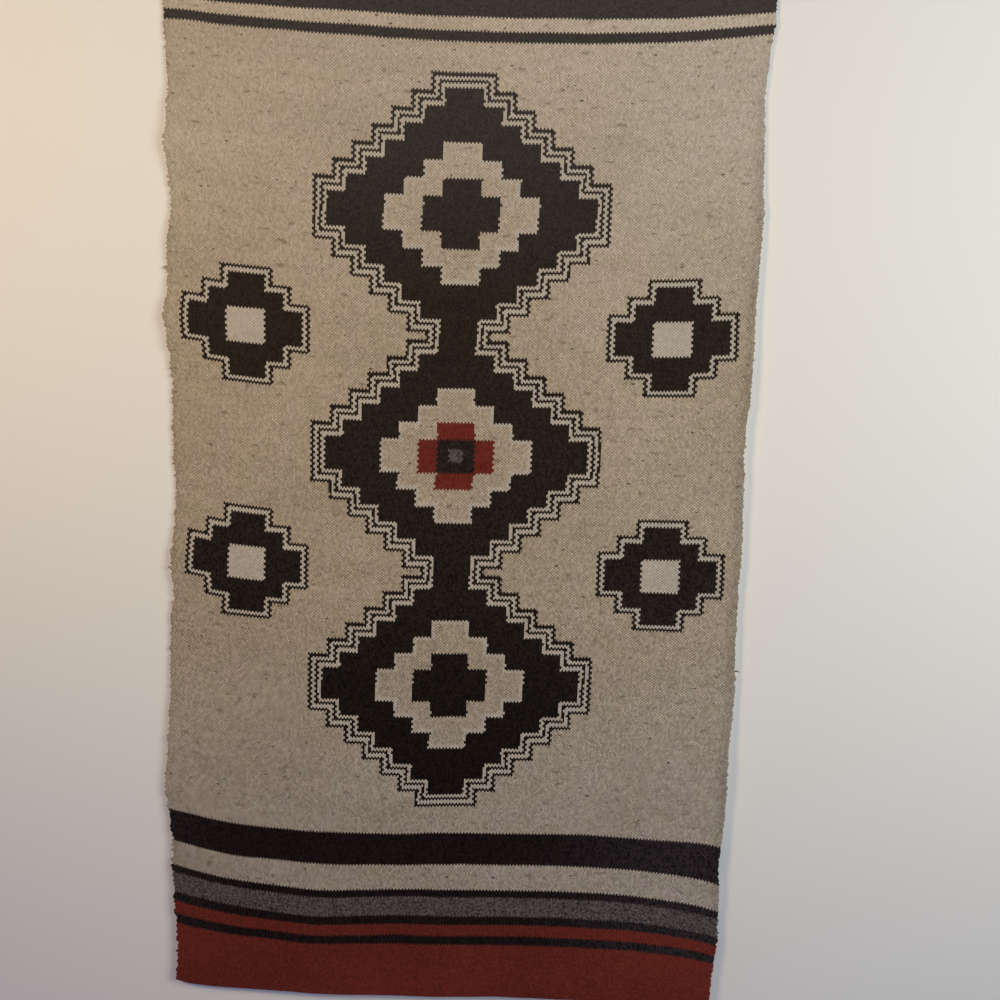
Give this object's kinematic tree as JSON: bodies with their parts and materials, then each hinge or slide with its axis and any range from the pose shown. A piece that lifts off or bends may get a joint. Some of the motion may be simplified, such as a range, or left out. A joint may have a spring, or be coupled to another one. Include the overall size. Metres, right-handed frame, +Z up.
{
  "type": "handwoven wool rug",
  "caption": "Narrow flat-woven wool rug hung as a wall textile, with stepped geometric motifs on a heathered ground and striped end bands.",
  "frame": {"origin": "middle of the rug's top edge, on the back of the cloth", "axes": "+Z up along the length of the rug, +X to the right as seen from the front, -Y out of the patterned face"},
  "size_m": [0.775, 0.018, 1.403],
  "materials": {
    "wool": "matt weft-faced wool tapestry weave, heathered oatmeal ground with brown-black, brick red and grey"
  },
  "bodies": {
    "root": {"rug_cloth": "wool"}
  },
  "joints": []
}
